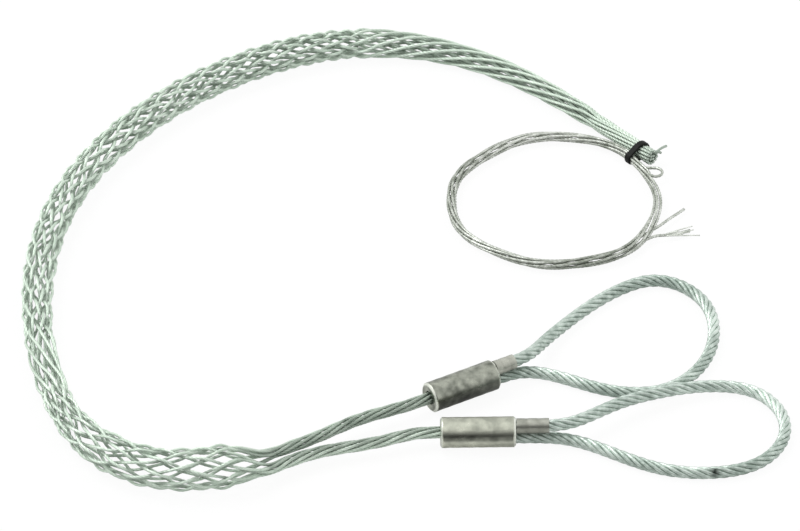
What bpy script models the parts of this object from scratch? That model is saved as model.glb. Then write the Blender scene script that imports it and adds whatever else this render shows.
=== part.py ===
"""Wire-mesh pulling grip for stranded cable, lying on a flat surface.

Sixteen galvanised strands are woven, eight each way round, into a tube that a cable
slides into. At the tail the strands close into a bundle under a black band. At the
shoulder the mesh opens and its strands part into two twisted legs, each held in a
pressed steel ferrule. A wire rope eye, bent from one length of rope, stands in the
other end of each ferrule, with a thin metal sleeve over its upper leg. A ring of
spare lacing strand is tied to the tail under the same band.

Lengths are in metres, +Z is up, and the grip lies on the plane z = 0.
"""

import math

import bmesh
import bpy
import numpy as np
from mathutils import Matrix

# Strands of the mesh
STRAND_DIAMETER = 0.0015
STRANDS_EACH_WAY = 8
STRAND_CLEARANCE = 0.00010
FIRST_STRAND_TURN = math.radians(0.0)

# The mesh tube: outer diameter and half the length of a mesh opening, by place along the route
MESH_START = 0.0520
MESH_CLOSE = 0.0120
MESH_DIAMETERS = [
    (0.052, 0.0094), (0.095, 0.0110), (0.120, 0.0116), (0.145, 0.0131), (0.172, 0.0150), (0.205, 0.0162),
    (0.240, 0.0166),
    (0.430, 0.0166), (0.475, 0.0150), (0.515, 0.0144), (0.545, 0.0156), (0.580, 0.0196), (0.640, 0.0220),
]
HALF_CELLS = [
    (0.052, 0.0082), (0.140, 0.0076), (0.170, 0.0068), (0.265, 0.0072), (0.358, 0.0078), (0.510, 0.0095),
    (0.640, 0.0098),
]

# Middle line of the mesh on the ground, from the tail's cut end to the shoulder
MESH_ROUTE = [
    (0.1230, 0.0750), (0.1090, 0.0905), (0.0775, 0.1225), (0.0340, 0.1535), (-0.0195, 0.1635),
    (-0.0775, 0.1430), (-0.1305, 0.0960), (-0.1660, 0.0290), (-0.1750, -0.0415), (-0.1655, -0.1080),
    (-0.1450, -0.1500), (-0.1135, -0.1700), (-0.0840, -0.1690),
]

# The tail bundle and its band
TAIL_LAY = 0.200
TAIL_STEP = 0.0135
BAND_WIDTH = 0.0034
BAND_THICKNESS = 0.0007
BAND_PLACE = 0.0085
BAND_LIFT = 0.0001
BAND_BEND_STEPS = 9

# Legs from the shoulder to the ferrules
LEG_LAY = 0.080
LEG_STEP = 0.0105
LEG_STRAIGHT = 0.0080
SHOULDER_DRAW = 0.92
UPPER_LEG_ROUTE = [
    (-0.0620, -0.1572, 0.0088), (-0.0387, -0.1431, 0.0083), (-0.0194, -0.1300, 0.0079),
]
LOWER_LEG_ROUTE = [
    (-0.0620, -0.1664, 0.0074), (-0.0387, -0.1532, 0.0066), (-0.0097, -0.1452, 0.0066),
]

# Ferrules: where the mouth on the mesh side lies, and the way to the eye
FERRULE_DIAMETER = 0.0148
FERRULE_LENGTH = 0.0359
FERRULE_CHAMFER = 0.0009
FERRULE_SIDES = 32
BORE_SIDES = 24
STRAND_BORE_DEPTH = 0.0140
ROPE_BORE_DEPTH = 0.0160
LOWER_MOUTH = (0.0187, -0.1395)
LOWER_TURN = math.radians(1.1)
UPPER_MOUTH = (0.0134, -0.1135)
UPPER_TURN = math.radians(29.9)

# Rope eyes, as routes in the ferrule's own frame: along it, to its left, and up from the ground
ROPE_DIAMETER = 0.0060
SLEEVE_WALL = 0.00035
LOWER_SLEEVE_LENGTH = 0.0155
UPPER_SLEEVE_LENGTH = 0.0105
SEAT_GAP = 0.0003
ROPE_STEP = 0.0100
LOWER_EYE_ROUTE = [
    (0.0320, 0.0060, 0.0100), (0.0505, 0.0195, 0.0084), (0.0695, 0.0288, 0.0069), (0.0940, 0.0362, 0.0043),
    (0.1140, 0.0335, 0.0030), (0.1268, 0.0170, 0.0030), (0.1270, -0.0030, 0.0030), (0.1135, -0.0210, 0.0030),
    (0.0930, -0.0270, 0.0030), (0.0680, -0.0235, 0.0030), (0.0440, -0.0105, 0.0030), (0.0240, -0.0010, 0.0032),
]
UPPER_EYE_ROUTE = [
    (0.0340, 0.0105, 0.0064), (0.0535, 0.0208, 0.0035), (0.0870, 0.0302, 0.0030), (0.1070, 0.0275, 0.0030),
    (0.1180, 0.0070, 0.0030), (0.1110, -0.0195, 0.0030), (0.0915, -0.0395, 0.0030), (0.0655, -0.0455, 0.0030),
    (0.0440, -0.0330, 0.0030), (0.0290, -0.0130, 0.0030), (0.0150, -0.0015, 0.0036),
]

# The ring of spare lacing strand
LACING_DIAMETER = 0.0015
LACING_STEP = 0.0040
COIL_RADIUS = 0.0503
COIL_THICKNESS = 0.0047
COIL_STEPS = 34
COIL_SIDES = 8
LONG_END_ROUTE = [(0.1204, 0.0158), (0.1268, 0.0168), (0.1340, 0.0192), (0.1404, 0.0225)]
SHORT_END_ROUTE = [(0.1248, 0.0222), (0.1288, 0.0280), (0.1336, 0.0338), (0.1379, 0.0390)]

# Derived sizes of the weave
STRAND_PITCH = STRAND_DIAMETER + STRAND_CLEARANCE
LAYER_RISE = 0.54 * STRAND_PITCH
OPEN_RATIO = 1.30
CORE_COUNT = STRANDS_EACH_WAY // 2
RIND_COUNT = 2 * STRANDS_EACH_WAY - CORE_COUNT
CORE_RADIUS = 1.02 * STRAND_PITCH / 2 / math.sin(math.pi / CORE_COUNT)
RIND_RADIUS = 1.02 * STRAND_PITCH / 2 / math.sin(math.pi / RIND_COUNT)
RIND_SHIFT = math.pi / STRANDS_EACH_WAY / 3
LEG_RADIUS = 1.4 * STRAND_PITCH

# Derived places
TAIL_RADIUS = RIND_RADIUS + STRAND_DIAMETER / 2
TAIL_HEIGHT = TAIL_RADIUS + SEAT_GAP + BAND_THICKNESS + BAND_LIFT
COIL_HEIGHT = COIL_THICKNESS / 2 + SEAT_GAP + BAND_THICKNESS + BAND_LIFT
FERRULE_HEIGHT = FERRULE_DIAMETER / 2
ROPE_RISE = (ROPE_DIAMETER + SLEEVE_WALL + 2 * SEAT_GAP) / 2
UP = np.array([0.0, 0.0, 1.0])

# Colours and finishes
FINISHES = {
    "galvanised_strand": ((0.55, 0.58, 0.55), 0.42, 0.9),
    "galvanised_rope": ((0.43, 0.46, 0.44), 0.45, 0.9),
    "ferrule_steel": ((0.50, 0.50, 0.48), 0.32, 1.0),
    "sleeve_metal": ((0.68, 0.68, 0.64), 0.30, 1.0),
    "black_band": ((0.015, 0.015, 0.015), 0.5, 0.0),
    "lacing_strand": ((0.55, 0.58, 0.54), 0.42, 0.9),
}


class SmoothRoute:
    """A cubic spline through points, read by its length from the first point."""

    def __init__(self, points, first_way=None, last_way=None):
        self.points = np.asarray(points, dtype=float)
        self.spans = np.linalg.norm(np.diff(self.points, axis=0), axis=1)
        self.slopes = self.solve_slopes(first_way, last_way)
        self.knots = np.concatenate([[0.0], np.cumsum(self.spans)])
        fine = np.linspace(0.0, self.knots[-1], 40 * len(self.points))
        steps = np.linalg.norm(np.diff(self.at_knot(fine), axis=0), axis=1)
        self.fine = fine
        self.lengths = np.concatenate([[0.0], np.cumsum(steps)])
        self.length = self.lengths[-1]

    def solve_slopes(self, first_way, last_way):
        """Slopes at the points that make the curvature run on smoothly; an end with no way is left free."""
        count = len(self.points)
        matrix = np.zeros((count, count))
        right = np.zeros_like(self.points)
        for i in range(1, count - 1):
            before, after = self.spans[i - 1], self.spans[i]
            matrix[i, i - 1:i + 2] = [1 / before, 2 / before + 2 / after, 1 / after]
            right[i] = 3 * (self.points[i] - self.points[i - 1]) / before ** 2
            right[i] += 3 * (self.points[i + 1] - self.points[i]) / after ** 2
        for row, inner, way in ((0, 1, first_way), (count - 1, count - 2, last_way)):
            matrix[row, row] = 2.0 if way is None else 1.0
            matrix[row, inner] = 1.0 if way is None else 0.0
            low, high = sorted((row, inner))
            chord = (self.points[high] - self.points[low]) / self.spans[low]
            right[row] = 3 * chord if way is None else way
        return np.linalg.solve(matrix, right)

    def at_knot(self, knot):
        """Points at values of the chord length, by the cubic of the span that each lies in."""
        span = np.clip(np.searchsorted(self.knots, knot, side="right") - 1, 0, len(self.spans) - 1)
        width = self.spans[span][:, None]
        part = (knot - self.knots[span])[:, None] / width
        rest = 1 - part
        start, end = self.points[span], self.points[span + 1]
        first, last = self.slopes[span] * width, self.slopes[span + 1] * width
        curve = start * (1 + 2 * part) * rest ** 2 + end * (3 - 2 * part) * part ** 2
        return curve + first * part * rest ** 2 - last * rest * part ** 2

    def at(self, places):
        """Points at places along the route; past its ends it runs on straight."""
        places = np.atleast_1d(places).astype(float)
        inside = np.clip(places, 0.0, self.length)
        points = self.at_knot(np.interp(inside, self.lengths, self.fine))
        over = (places - inside)[:, None]
        ends = np.where(over < 0, self.slopes[0], self.slopes[-1])
        return points + over * ends / np.linalg.norm(ends, axis=1)[:, None]

    def frames(self, places):
        """Points with their level right-hand and upward directions."""
        reach = 1e-4
        places = np.atleast_1d(places).astype(float)
        ahead = self.at(places + reach) - self.at(places - reach)
        ahead /= np.linalg.norm(ahead, axis=1)[:, None]
        right = np.cross(ahead, UP)
        right /= np.linalg.norm(right, axis=1)[:, None]
        return self.at(places), right, np.cross(right, ahead)


def around(route, places, radii, angles):
    """Points at a radius and angle round a route; angle 0 is to its right, a quarter turn is up."""
    centre, right, up = route.frames(places)
    radii, angles = np.asarray(radii)[:, None], np.asarray(angles)[:, None]
    return centre + radii * (np.cos(angles) * right + np.sin(angles) * up)


def mesh_radius(places):
    """Outer radius of the mesh; before its first ring, that of the tail bundle."""
    stations, diameters = zip(*MESH_DIAMETERS)
    return np.interp(places, (0.0, MESH_START - MESH_CLOSE) + stations, (2 * TAIL_RADIUS,) * 2 + diameters) / 2


def mesh_heights(places):
    """Heights of the mesh's middle line, so that its lowest strands touch the ground."""
    lift = TAIL_HEIGHT - TAIL_RADIUS
    return mesh_radius(places) + lift * np.clip(1 - np.asarray(places) / MESH_START, 0.0, 1.0)


def make_mesh_route():
    """Middle line of the mesh in space, from the tail's end to the shoulder."""
    ground = np.asarray(MESH_ROUTE)
    places = np.concatenate([[0.0], np.cumsum(np.linalg.norm(np.diff(ground, axis=0), axis=1))])
    heights = mesh_heights(places)
    return SmoothRoute(np.column_stack([ground, heights]))


def ring_places(length):
    """Places of the crossing rings from the mesh's start to the shoulder, a half mesh opening apart."""
    places = np.linspace(MESH_START, length, 400)
    stations, halves = zip(*HALF_CELLS)
    density = 1 / np.interp(places, stations, halves)
    count = np.concatenate([[0.0], np.cumsum((density[1:] + density[:-1]) / 2 * np.diff(places))])
    rings = round(count[-1])
    return np.interp(np.arange(rings + 1) * count[-1] / rings, count, places)


def weave_levels(rings):
    """Middle radius of the weave at each ring, the strands' rise from it, and where it is closed.

    A strand runs straight from over one crossing to under the next, and moves sideways by one
    step. It clears the strand that it crosses where its rise is half the strand pitch, divided
    by the root of one less the squared ratio of pitch to step. Where the step is too small for
    that, the two ways round lie in two plain layers, and so does the next ring on each side.
    """
    outer = mesh_radius(rings) - STRAND_DIAMETER / 2
    rise = np.full(len(rings), 0.7 * STRAND_PITCH)
    for _ in range(4):
        sidestep = (outer - rise) * math.pi / STRANDS_EACH_WAY
        ratio = np.minimum(STRAND_PITCH / sidestep, 1 / OPEN_RATIO)
        rise = STRAND_PITCH / 2 / np.sqrt(1 - ratio ** 2)
    tight = STRAND_PITCH / sidestep > 1 / OPEN_RATIO
    rise = np.where(tight, LAYER_RISE, rise)
    closed = tight | np.append(tight[1:], False) | np.append(False, tight[:-1])
    return outer - rise, rise, closed


def ferrule_frame(mouth, turn):
    """Matrix of a ferrule: its origin at the middle of the mesh-side end, its X towards the eye."""
    return Matrix.Translation((*mouth, FERRULE_HEIGHT)) @ Matrix.Rotation(turn, 4, "Z")


def placed(matrix, points):
    """Points of a local frame in the space of the whole grip."""
    return np.array([matrix @ Matrix.Translation(point).to_translation() for point in points])


def make_leg_route(first_points, mouth, turn):
    """Middle line of one leg from the gathering point to the inner end of its ferrule's bore."""
    frame = ferrule_frame(mouth, turn)
    way = np.array([math.cos(turn), math.sin(turn), 0.0])
    inner = STRAND_BORE_DEPTH - SEAT_GAP
    end_points = placed(frame, [(-LEG_STRAIGHT, 0.0, 0.0), (0.0, 0.0, 0.0), (inner, 0.0, 0.0)])
    return SmoothRoute(np.vstack([first_points, end_points]), last_way=way)


class MeshStrand:
    """One strand of the mesh, from the tail's cut end through the weave and a leg into a ferrule."""

    def __init__(self, hand, number, route, rings, legs):
        self.hand = hand
        self.number = number
        self.route = route
        self.rings = rings
        self.legs = legs
        self.last_side = hand

    def angle(self, ring):
        """Angle round the tube: each strand moves on by half an opening from ring to ring."""
        step = math.pi / STRANDS_EACH_WAY
        return FIRST_STRAND_TURN + step * (2 * self.number + self.hand * np.asarray(ring, dtype=float))

    def woven_part(self):
        """Crossing points, over and under in turn, with a half step before the first and after the last."""
        middle, rise, closed = weave_levels(self.rings)
        count = len(self.rings)
        ring = np.arange(count)
        side = np.where(closed | (ring % 2 == 0), self.hand, -self.hand)
        radii = middle + side * rise
        first_half = (self.rings[1] - self.rings[0]) / 2
        last_half = (self.rings[-1] - self.rings[-2]) / 2
        places = np.concatenate([[self.rings[0] - first_half], self.rings, [self.rings[-1] + last_half]])
        radii = np.concatenate([radii[:1], radii, middle[-1:] * SHOULDER_DRAW])
        self.last_side = side[-1]
        return around(self.route, places, radii, self.angle(np.concatenate([[-0.5], ring, [count - 0.5]])))

    def tail_slot(self):
        """Radius and angle in the tail bundle: a quarter of the strands form its core, the rest its rind."""
        if self.hand > 0:
            lean = RIND_SHIFT if self.number % 2 == 0 else -RIND_SHIFT
            return RIND_RADIUS, self.angle(-0.5) + lean
        return (RIND_RADIUS if self.number % 2 else CORE_RADIUS), self.angle(-0.5)

    def tail_part(self):
        """The strand's run in the tail bundle, with the bundle's slow twist."""
        length = self.rings[0] - MESH_CLOSE
        places = np.linspace(0.0, length, round(length / TAIL_STEP) + 1)
        radius, angle = self.tail_slot()
        angles = angle + 2 * math.pi * (places - places[-1]) / TAIL_LAY
        return around(self.route, places, np.full(len(places), radius), angles)

    def leg_part(self):
        """The strand's run from the shoulder into a ferrule, one strand in the middle of the others."""
        angle = float(self.angle(len(self.rings) - 0.5)) % (2 * math.pi)
        to_right = math.cos(angle) > 0
        leg_angle = 0.0 if to_right else math.pi
        leg = self.legs["lower" if to_right else "upper"]
        lean = (angle - leg_angle + math.pi) % (2 * math.pi) - math.pi
        step = math.pi / STRANDS_EACH_WAY
        rank = round(lean / step + (STRANDS_EACH_WAY - 1) / 2)
        slots = STRANDS_EACH_WAY - 1
        middle = self.core_rank(rank)
        radius = 0.0 if rank == middle else LEG_RADIUS
        slot = rank if rank < middle else rank - 1
        slot_angle = leg_angle + (slot - (slots - 1) / 2) * 2 * math.pi / slots
        places = np.linspace(0.0, leg.length, round(leg.length / LEG_STEP) + 1)
        angles = slot_angle + 2 * math.pi * places / LEG_LAY
        return around(leg, places, np.full(len(places), radius), angles)

    def core_rank(self, rank):
        """Rank of the strand that runs in the middle of its leg: of the middle two, the one that
        lies under at the last crossing."""
        pair = ((STRANDS_EACH_WAY - 1) // 2, STRANDS_EACH_WAY // 2)
        other = pair[0] + pair[1] - rank
        if rank not in pair:
            under_hand = -self.hand * self.last_side
            odd_ring = len(self.rings) % 2 == 0
            return pair[1] if (under_hand > 0) != odd_ring else pair[0]
        return rank if self.last_side < 0 else other

    def points(self):
        """All points of the strand, one at each crossing of the weave."""
        woven = self.woven_part()
        return np.vstack([self.tail_part(), woven, self.leg_part()])


def make_material(name):
    """Plain material with the finish's colour, roughness and metallic value."""
    colour, roughness, metallic = FINISHES[name]
    material = bpy.data.materials.new(name)
    material.use_nodes = True
    shader = material.node_tree.nodes["Principled BSDF"]
    shader.inputs["Base Color"].default_value = (*colour, 1.0)
    shader.inputs["Roughness"].default_value = roughness
    shader.inputs["Metallic"].default_value = metallic
    material.diffuse_color = (*colour, 1.0)
    return material


def add_object(name, data, finish, scene_parts):
    """New object in the grip's collection, with a material of its own, on the grip's base."""
    thing = bpy.data.objects.new(name, data)
    scene_parts["collection"].objects.link(thing)
    thing.parent = scene_parts["base"]
    data.materials.append(make_material(finish))
    return thing


def add_wire(name, points, diameter, resolution, finish, scene_parts):
    """Round wire along points: a poly curve with a bevel and closed ends."""
    curve = bpy.data.curves.new(name, "CURVE")
    curve.dimensions = "3D"
    curve.bevel_depth = diameter / 2
    curve.bevel_resolution = resolution
    curve.use_fill_caps = True
    spline = curve.splines.new("POLY")
    spline.points.add(len(points) - 1)
    weighted = np.column_stack([points, np.ones(len(points))])
    spline.points.foreach_set("co", weighted.astype(np.float32).ravel())
    return add_object(name, curve, finish, scene_parts)


def add_turned(name, outline, steps, matrix, finish, scene_parts):
    """Ring turned from a closed outline of (radius, height) points about the matrix's Z axis."""
    mesh = bpy.data.meshes.new(name)
    points = [(radius, 0.0, height) for radius, height in outline]
    edges = [(i, (i + 1) % len(points)) for i in range(len(points))]
    mesh.from_pydata(points, edges, [])
    ring = add_object(name, mesh, finish, scene_parts)
    ring.matrix_local = matrix
    screw = ring.modifiers.new("Turn", "SCREW")
    screw.steps = steps
    screw.render_steps = steps
    screw.use_merge_vertices = True
    screw.merge_threshold = 1e-6
    screw.use_smooth_shade = True
    return ring


def cylinder_mesh(name, diameter, length, sides):
    """Round bar along X that starts at the origin."""
    mesh = bpy.data.meshes.new(name)
    shape = bmesh.new()
    bmesh.ops.create_cone(
        shape, cap_ends=True, segments=sides, radius1=diameter / 2, radius2=diameter / 2, depth=length,
    )
    half_side = math.pi / sides
    spin = Matrix.Rotation(half_side, 4, "Z")
    lay = Matrix.Translation((length / 2, 0.0, 0.0)) @ Matrix.Rotation(math.pi / 2, 4, "Y")
    bmesh.ops.transform(shape, matrix=lay @ spin, verts=shape.verts)
    shape.to_mesh(mesh)
    shape.free()
    return mesh


def add_cutter(name, mesh, matrix, scene_parts):
    """Shape that is taken out of another one; it isn't part of the grip."""
    cutter = bpy.data.objects.new(name, mesh)
    scene_parts["cutters"].objects.link(cutter)
    cutter.parent = scene_parts["base"]
    cutter.matrix_local = matrix
    cutter.hide_render = True
    cutter.display_type = "WIRE"
    return cutter


def rope_bore_mesh(name):
    """Slot with round ends that takes the two rope legs one above the other."""
    mesh = cylinder_mesh(name, ROPE_DIAMETER + 2 * SEAT_GAP, ROPE_BORE_DEPTH * 2, BORE_SIDES)
    for vertex in mesh.vertices:
        vertex.co.z += math.copysign(ROPE_RISE, vertex.co.z)
    return mesh


def add_ferrule(name, mouth, turn, scene_parts):
    """Pressed steel ferrule: a bore for the strands in one end and a slot for the rope in the other."""
    frame = ferrule_frame(mouth, turn)
    ferrule = add_object(
        name, cylinder_mesh(name, FERRULE_DIAMETER, FERRULE_LENGTH, FERRULE_SIDES), "ferrule_steel",
        scene_parts,
    )
    ferrule.matrix_local = frame
    chamfer = ferrule.modifiers.new("Chamfer", "BEVEL")
    chamfer.width = FERRULE_CHAMFER
    chamfer.segments = 1
    chamfer.limit_method = "ANGLE"
    chamfer.angle_limit = math.radians(60)
    strand_bore = cylinder_mesh(
        name + "_strand_bore", 2 * LEG_RADIUS + STRAND_DIAMETER + 2 * SEAT_GAP, 2 * STRAND_BORE_DEPTH,
        BORE_SIDES,
    )
    cuts = [
        (strand_bore, frame @ Matrix.Translation((-STRAND_BORE_DEPTH, 0.0, 0.0))),
        (rope_bore_mesh(name + "_rope_bore"),
         frame @ Matrix.Translation((FERRULE_LENGTH - ROPE_BORE_DEPTH, 0.0, 0.0))),
    ]
    for mesh, matrix in cuts:
        boolean = ferrule.modifiers.new("Cut", "BOOLEAN")
        boolean.operation = "DIFFERENCE"
        boolean.object = add_cutter(mesh.name, mesh, matrix, scene_parts)
    ferrule.data.shade_smooth()
    ferrule.data.set_sharp_from_angle(angle=math.radians(35))
    return ferrule


def eye_points(mouth, turn, route, sleeve_length):
    """Points of a rope eye: out of the upper half of the slot, round the eye and back into the lower."""
    frame = ferrule_frame(mouth, turn) @ Matrix.Translation((FERRULE_LENGTH, 0.0, 0.0))
    way = np.array([math.cos(turn), math.sin(turn), 0.0])
    inner = -ROPE_BORE_DEPTH + SEAT_GAP
    clear = sleeve_length + 3 * SEAT_GAP
    upper = placed(frame, [(inner, 0.0, ROPE_RISE), (0.0, 0.0, ROPE_RISE), (clear, 0.0, ROPE_RISE)])
    lower = placed(frame, [(ROPE_DIAMETER / 2, 0.0, -ROPE_RISE), (inner, 0.0, -ROPE_RISE)])
    ground = placed(frame, [(along, left, height - FERRULE_HEIGHT) for along, left, height in route])
    bend = SmoothRoute(np.vstack([upper[-1:], ground, lower[:1]]), first_way=way, last_way=-way)
    count = round(bend.length / ROPE_STEP)
    return np.vstack([upper[:-1], bend.at(np.linspace(0.0, bend.length, count + 1)), lower[1:]])


def add_eye(name, mouth, turn, route, sleeve_length, scene_parts):
    """Rope eye and the thin sleeve over its upper leg, against the ferrule's end."""
    points = eye_points(mouth, turn, route, sleeve_length)
    add_wire(name + "_rope", points, ROPE_DIAMETER, 2, "galvanised_rope", scene_parts)
    frame = ferrule_frame(mouth, turn) @ Matrix.Translation((FERRULE_LENGTH + SEAT_GAP, 0.0, ROPE_RISE))
    inner = ROPE_DIAMETER / 2 + SEAT_GAP
    outer = inner + SLEEVE_WALL
    outline = [(outer, sleeve_length), (outer, 0.0), (inner, 0.0), (inner, sleeve_length)]
    lay = Matrix.Rotation(math.pi / 2, 4, "Y")
    add_turned(name + "_sleeve", outline, BORE_SIDES, frame @ lay, "sleeve_metal", scene_parts)


def coil_centre(route):
    """Middle of the lacing ring, laid against the tail where the band ties them."""
    centre, right, _ = (value[0] for value in route.frames(BAND_PLACE))
    reach = TAIL_RADIUS + COIL_THICKNESS / 2 + SEAT_GAP
    drop = centre[2] - COIL_HEIGHT
    beside = math.sqrt(max(reach ** 2 - drop ** 2, 0.0))
    return np.append((centre - right * (beside + COIL_RADIUS))[:2], COIL_HEIGHT)


def belt_outline(radius_a, centre_b, radius_b, steps):
    """Closed outline of a belt round a circle at the origin and a second, smaller circle.

    The belt's straight runs are the outer tangents: they leave both circles at the same angle
    from the line between the centres, whose cosine is the difference of the radii over it.
    """
    span = math.hypot(*centre_b)
    heading = math.atan2(centre_b[1], centre_b[0])
    lean = math.acos((radius_a - radius_b) / span)
    points = []
    for centre, radius, first, last in (
        ((0.0, 0.0), radius_a, heading + lean, heading - lean + 2 * math.pi),
        (centre_b, radius_b, heading - lean, heading + lean),
    ):
        for angle in np.linspace(first, last, steps):
            points.append((centre[0] + radius * math.cos(angle), centre[1] + radius * math.sin(angle)))
    return points


def add_band(route, scene_parts):
    """Black band round the tail bundle and the lacing ring."""
    centre, right, up = (value[0] for value in route.frames(BAND_PLACE))
    ahead = np.cross(up, right)
    ring_middle = coil_centre(route)
    away = centre - ring_middle
    away[2] = 0.0
    nearest = ring_middle + away / np.linalg.norm(away) * COIL_RADIUS
    offset = nearest - centre
    ring_place = (float(offset @ right), float(offset @ up))
    outline = belt_outline(TAIL_RADIUS + SEAT_GAP, ring_place, COIL_THICKNESS / 2 + SEAT_GAP, BAND_BEND_STEPS)
    shape = bmesh.new()
    rims = []
    for side in (-0.5, 0.5):
        rim = [centre + right * x + up * y + ahead * side * BAND_WIDTH for x, y in outline]
        rims.append([shape.verts.new(point) for point in rim])
    count = len(outline)
    for i in range(count):
        j = (i + 1) % count
        shape.faces.new((rims[0][i], rims[0][j], rims[1][j], rims[1][i]))
    bmesh.ops.recalc_face_normals(shape, faces=shape.faces)
    mesh = bpy.data.meshes.new("tail_band")
    shape.to_mesh(mesh)
    shape.free()
    band = add_object("tail_band", mesh, "black_band", scene_parts)
    wall = band.modifiers.new("Wall", "SOLIDIFY")
    wall.thickness = BAND_THICKNESS
    wall.offset = 1.0
    wall.use_even_offset = True
    return band


def add_lacing(route, scene_parts):
    """Ring of spare lacing strand and its two free ends."""
    middle = coil_centre(route)
    half = COIL_THICKNESS / 2
    outline = []
    for i in range(COIL_SIDES):
        angle = -2 * math.pi * (i + 0.5) / COIL_SIDES
        outline.append((COIL_RADIUS + half * math.cos(angle), half * math.sin(angle)))
    add_turned("lacing_coil", outline, COIL_STEPS, Matrix.Translation(middle), "lacing_strand", scene_parts)
    for name, ground in (("lacing_long_end", LONG_END_ROUTE), ("lacing_short_end", SHORT_END_ROUTE)):
        heights = np.linspace(COIL_HEIGHT, LACING_DIAMETER, len(ground))
        end = SmoothRoute(np.column_stack([ground, heights]))
        places = np.linspace(0.0, end.length, round(end.length / LACING_STEP) + 1)
        add_wire(name, end.at(places), LACING_DIAMETER, 2, "lacing_strand", scene_parts)


def start_scene():
    """Empty scene with the grip's collection, the cutters' collection and the base empty."""
    for thing in list(bpy.data.objects):
        bpy.data.objects.remove(thing, do_unlink=True)
    scene_parts = {}
    for key, name in (("collection", "pulling_grip"), ("cutters", "cutters")):
        scene_parts[key] = bpy.data.collections.new(name)
        bpy.context.scene.collection.children.link(scene_parts[key])
    base = bpy.data.objects.new("grip_base", None)
    scene_parts["collection"].objects.link(base)
    scene_parts["base"] = base
    return scene_parts


def centre_on_ground(scene_parts):
    """Move the base so that the origin is under the middle of the grip, lacing apart, at its lowest point."""
    bpy.context.view_layer.update()
    depsgraph = bpy.context.evaluated_depsgraph_get()
    corners = []
    for thing in scene_parts["collection"].objects:
        if thing.type == "EMPTY" or thing.name.startswith("lacing"):
            continue
        evaluated = thing.evaluated_get(depsgraph)
        mesh = evaluated.to_mesh()
        places = np.empty(3 * len(mesh.vertices), dtype=np.float32)
        mesh.vertices.foreach_get("co", places)
        world = np.array(thing.matrix_world)
        places = places.reshape(-1, 3) @ world[:3, :3].T + world[:3, 3]
        corners += [places.min(axis=0), places.max(axis=0)]
        evaluated.to_mesh_clear()
    low, high = np.min(corners, axis=0), np.max(corners, axis=0)
    scene_parts["base"].location = (-(low[0] + high[0]) / 2, -(low[1] + high[1]) / 2, -low[2])
    bpy.context.view_layer.update()


def main():
    """Build the grip."""
    scene_parts = start_scene()
    route = make_mesh_route()
    rings = ring_places(route.length)
    legs = {
        "upper": make_leg_route(UPPER_LEG_ROUTE, UPPER_MOUTH, UPPER_TURN),
        "lower": make_leg_route(LOWER_LEG_ROUTE, LOWER_MOUTH, LOWER_TURN),
    }
    for hand in (1, -1):
        for number in range(STRANDS_EACH_WAY):
            strand = MeshStrand(hand, number, route, rings, legs)
            order = number + 1 + (0 if hand > 0 else STRANDS_EACH_WAY)
            add_wire(
                f"mesh_strand_{order:02d}", strand.points(), STRAND_DIAMETER, 0, "galvanised_strand",
                scene_parts,
            )
    add_ferrule("lower_ferrule", LOWER_MOUTH, LOWER_TURN, scene_parts)
    add_ferrule("upper_ferrule", UPPER_MOUTH, UPPER_TURN, scene_parts)
    add_eye("lower_eye", LOWER_MOUTH, LOWER_TURN, LOWER_EYE_ROUTE, LOWER_SLEEVE_LENGTH, scene_parts)
    add_eye("upper_eye", UPPER_MOUTH, UPPER_TURN, UPPER_EYE_ROUTE, UPPER_SLEEVE_LENGTH, scene_parts)
    add_band(route, scene_parts)
    add_lacing(route, scene_parts)
    centre_on_ground(scene_parts)


main()
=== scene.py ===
"""Studio scene of a wire-mesh cable pulling grip that lies on a white table.

The grip is woven from laid galvanised strands. Its two legs end in pressed ferrules
with wire rope eyes, and a ring of spare lacing strand is tied to its tail. Every
length is in metres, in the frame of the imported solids.
"""
import logging
import math
from abc import ABC, abstractmethod
from dataclasses import dataclass, field
from enum import Enum
from functools import cache

import bpy
import numpy as np
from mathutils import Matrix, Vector


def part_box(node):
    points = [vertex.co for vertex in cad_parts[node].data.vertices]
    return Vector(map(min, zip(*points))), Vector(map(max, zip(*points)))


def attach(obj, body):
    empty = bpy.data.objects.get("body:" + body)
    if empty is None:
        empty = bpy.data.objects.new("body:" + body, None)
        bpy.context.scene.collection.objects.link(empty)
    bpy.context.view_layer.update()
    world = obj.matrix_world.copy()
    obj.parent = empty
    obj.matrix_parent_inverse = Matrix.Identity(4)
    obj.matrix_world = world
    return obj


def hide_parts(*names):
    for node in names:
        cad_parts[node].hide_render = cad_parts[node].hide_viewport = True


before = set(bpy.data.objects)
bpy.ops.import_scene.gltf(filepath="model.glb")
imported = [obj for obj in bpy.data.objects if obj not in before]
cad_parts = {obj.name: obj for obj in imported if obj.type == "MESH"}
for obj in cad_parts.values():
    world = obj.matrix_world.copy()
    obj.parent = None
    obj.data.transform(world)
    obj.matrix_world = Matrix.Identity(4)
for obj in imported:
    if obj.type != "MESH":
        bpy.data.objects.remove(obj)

BODY = "root"
UP = np.array([0.0, 0.0, 1.0])
END_GROOVE = 0.4
SHARP_ANGLE = math.radians(50)
log = logging.getLogger("pulling_grip")
Array = np.ndarray
Triple = tuple[float, float, float]
Object = bpy.types.Object
Node = bpy.types.Node
Socket = bpy.types.NodeSocket


class Lay(Enum):
    """Hand of a strand or a rope: the sign of its twist as it runs away."""

    RIGHT = 1
    LEFT = -1


# Curves and surfaces


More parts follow.
